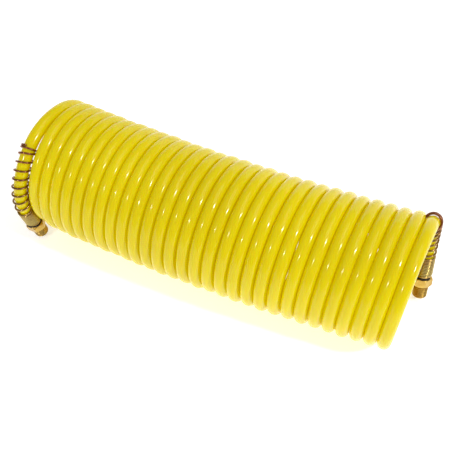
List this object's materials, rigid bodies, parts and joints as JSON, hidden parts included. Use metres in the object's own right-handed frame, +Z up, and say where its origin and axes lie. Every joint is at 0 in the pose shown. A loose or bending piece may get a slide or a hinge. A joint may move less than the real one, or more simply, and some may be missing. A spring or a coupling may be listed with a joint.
{
  "type": "coiled air hose",
  "caption": "Recoil air hose: nylon tube in a close helix, with a bend-restrictor spring and a male swivel pipe fitting at each end.",
  "frame": {"origin": "middle of the footprint, on the surface that the coil lies on", "axes": "+X along the coil's axis, from the left end to the right end; +Z up"},
  "size_m": [0.2786, 0.0938, 0.0906],
  "materials": {
    "hose_nylon": "glossy extruded nylon",
    "spring_steel": "yellow zinc plated spring wire",
    "ferrule_steel": "zinc plated",
    "stem_brass": "turned",
    "body_brass": "turned",
    "ring_steel": "black oxide",
    "seal_rubber": "matt"
  },
  "bodies": {
    "coil": {"hose_coil": "hose_nylon", "hose_tail_left": "hose_nylon", "spring_guard_left": "spring_steel", "ferrule_left": "ferrule_steel", "swivel_stem_left": "stem_brass", "retaining_ring_left": "ring_steel", "o_ring_left": "seal_rubber"},
    "left_fitting": {"swivel_body_left": "body_brass"},
    "right_end": {"hose_tail_right": "hose_nylon", "spring_guard_right": "spring_steel", "ferrule_right": "ferrule_steel", "swivel_stem_right": "stem_brass", "retaining_ring_right": "ring_steel", "o_ring_right": "seal_rubber"},
    "right_fitting": {"swivel_body_right": "body_brass"}
  },
  "joints": [
    {"name": "coil_stretch", "type": "slide", "parent": "coil", "child": "right_end", "axis": [1, 0, 0], "range_m": [0, 1.5], "stiffness_N_per_m": 7, "springref_m": -0.15, "deforming": ["hose_coil"]},
    {"name": "left_swivel", "type": "hinge", "parent": "coil", "child": "left_fitting", "pos_m": [-0.13217, -0.03535, 0.01581], "axis": [0.0503, 0.2415, -0.9691], "continuous": true},
    {"name": "right_swivel", "type": "hinge", "parent": "right_end", "child": "right_fitting", "pos_m": [0.13265, 0.02955, 0.01627], "axis": [0.1024, -0.2908, -0.9513], "continuous": true}
  ]
}
